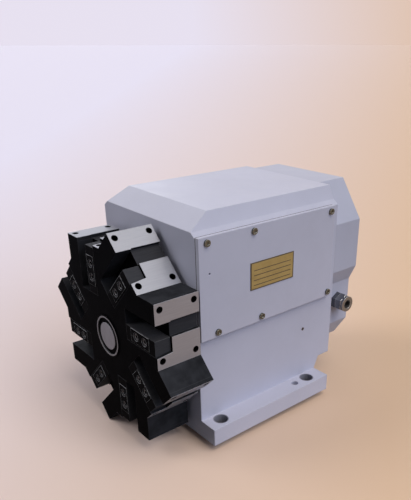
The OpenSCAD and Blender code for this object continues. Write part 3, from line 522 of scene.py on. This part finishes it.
def stage_mesh(name, verts, faces, material):
    mesh = bpy.data.meshes.new(name)
    mesh.from_pydata(verts, [], faces)
    obj = bpy.data.objects.new(name, mesh)
    bpy.context.scene.collection.objects.link(obj)
    mesh.materials.append(material)


def rectangle(x0, x1, y0, y1, z):
    return [(x0, y0, z), (x1, y0, z), (x1, y1, z), (x0, y1, z)]


PALE = stage_material("stage_pale")
floor = rectangle(-FLOOR_REACH, FLOOR_REACH, -FLOOR_REACH, FLOOR_REACH, FLOOR_Z)
stage_mesh("stage_floor", floor, [(0, 1, 2, 3)], PALE)
plinth_sides = (HOUSING_LOW.x + PLINTH_INSET, HOUSING_HIGH.x - PLINTH_INSET,
                HOUSING_LOW.y + PLINTH_INSET, FOOT_REAR - PLINTH_INSET)
plinth = rectangle(*plinth_sides, FLOOR_Z) + rectangle(*plinth_sides, PLINTH_TOP)
plinth_faces = [(4, 5, 6, 7), (0, 1, 5, 4), (1, 2, 6, 5), (2, 3, 7, 6), (3, 0, 4, 7)]
stage_mesh("stage_plinth", plinth, plinth_faces, PALE)


# Light

FRONT_SKY = (0.08, 0.082, 0.095)
REAR_SKY = (0.42, 0.426, 0.48)
OVERHEAD = (0.93, 0.93, 0.93)
# The height in the sky, as a direction's Z, where its colour begins to turn to that overhead and where it has
OVERHEAD_SPAN = (0.1, 0.5)


def sun(name, towards, strength, spread, colour):
    """A sun lamp that shines along a direction; its spread in degrees softens the shadows."""
    data = bpy.data.lights.new(name, "SUN")
    data.energy = strength
    data.angle = math.radians(spread)
    data.color = colour
    obj = bpy.data.objects.new(name, data)
    bpy.context.scene.collection.objects.link(obj)
    obj.rotation_euler = Vector(towards).to_track_quat("-Z", "Y").to_euler()


def studio_world():
    """Light from the sky, darker in front, and the stage's own colours where the camera sees the sky."""
    world = bpy.data.worlds.new("studio")
    bpy.context.scene.world = world
    world.use_nodes = True
    nt = world.node_tree
    sky = add(nt, "TexCoord").outputs["Generated"]
    s = split(nt, sky)
    light = nt.nodes["Background"]
    feed(nt, light, {"Color": mix(nt, remap(nt, s["Y"], -1.0, 1.0), FRONT_SKY, REAR_SKY), "Strength": 1.0})
    seen = add(nt, "Background")
    horizon = warmth(nt, math_node(nt, "DIVIDE", across(nt, sky), FADE), LIT)
    feed(nt, seen, {"Color": mix(nt, remap(nt, s["Z"], *OVERHEAD_SPAN), horizon, OVERHEAD), "Strength": 1.0})
    either = add(nt, "MixShader")
    feed(nt, either, {0: shown(nt), 1: light.outputs["Background"], 2: seen.outputs["Background"]})
    feed(nt, nt.nodes["World Output"], {"Surface": either.outputs["Shader"]})


sun("light_top", (-0.52, -0.10, -1.0), 1.24, 40, (1.0, 0.91, 0.80))
sun("light_front", (0.5, 0.6, -0.62), 0.95, 30, (0.98, 0.97, 1.0))
sun("light_right", (-1.0, -0.24, -0.55), 0.76, 40, (0.82, 0.92, 1.16))
sun("light_left", (1.0, -0.25, -0.20), 0.60, 40, (0.95, 0.97, 1.0))
studio_world()


# Camera, fitted to the photograph: its place in metres, its axes and its view in pixels

CAMERA_PLACE = (0.6108, -0.4674, 0.4658)
CAMERA_RIGHT = (0.6516, 0.7586, 0.0)
CAMERA_UP = (-0.3224, 0.2769, 0.9052)
CAMERA_BACK = (0.6867, -0.5898, 0.4250)
IMAGE_W, IMAGE_H = 411, 500
FOCAL_PX = 581.1
CENTRE_PX = (244.9, 316.0)
SENSOR_MM = 36
SIGHT = 400

camera_data = bpy.data.cameras.new("camera")
camera_data.sensor_width = SENSOR_MM
camera_data.lens = FOCAL_PX / IMAGE_H * SENSOR_MM
camera_data.shift_x = (IMAGE_W / 2 - CENTRE_PX[0]) / IMAGE_H
camera_data.shift_y = (CENTRE_PX[1] - IMAGE_H / 2) / IMAGE_H
camera_data.clip_end = SIGHT
camera = bpy.data.objects.new("camera", camera_data)
bpy.context.scene.collection.objects.link(camera)
turn = Matrix((CAMERA_RIGHT, CAMERA_UP, CAMERA_BACK)).transposed().to_4x4()
camera.matrix_world = Matrix.Translation(CAMERA_PLACE) @ turn
bpy.context.scene.camera = camera
bpy.context.scene.view_settings.view_transform = "Standard"
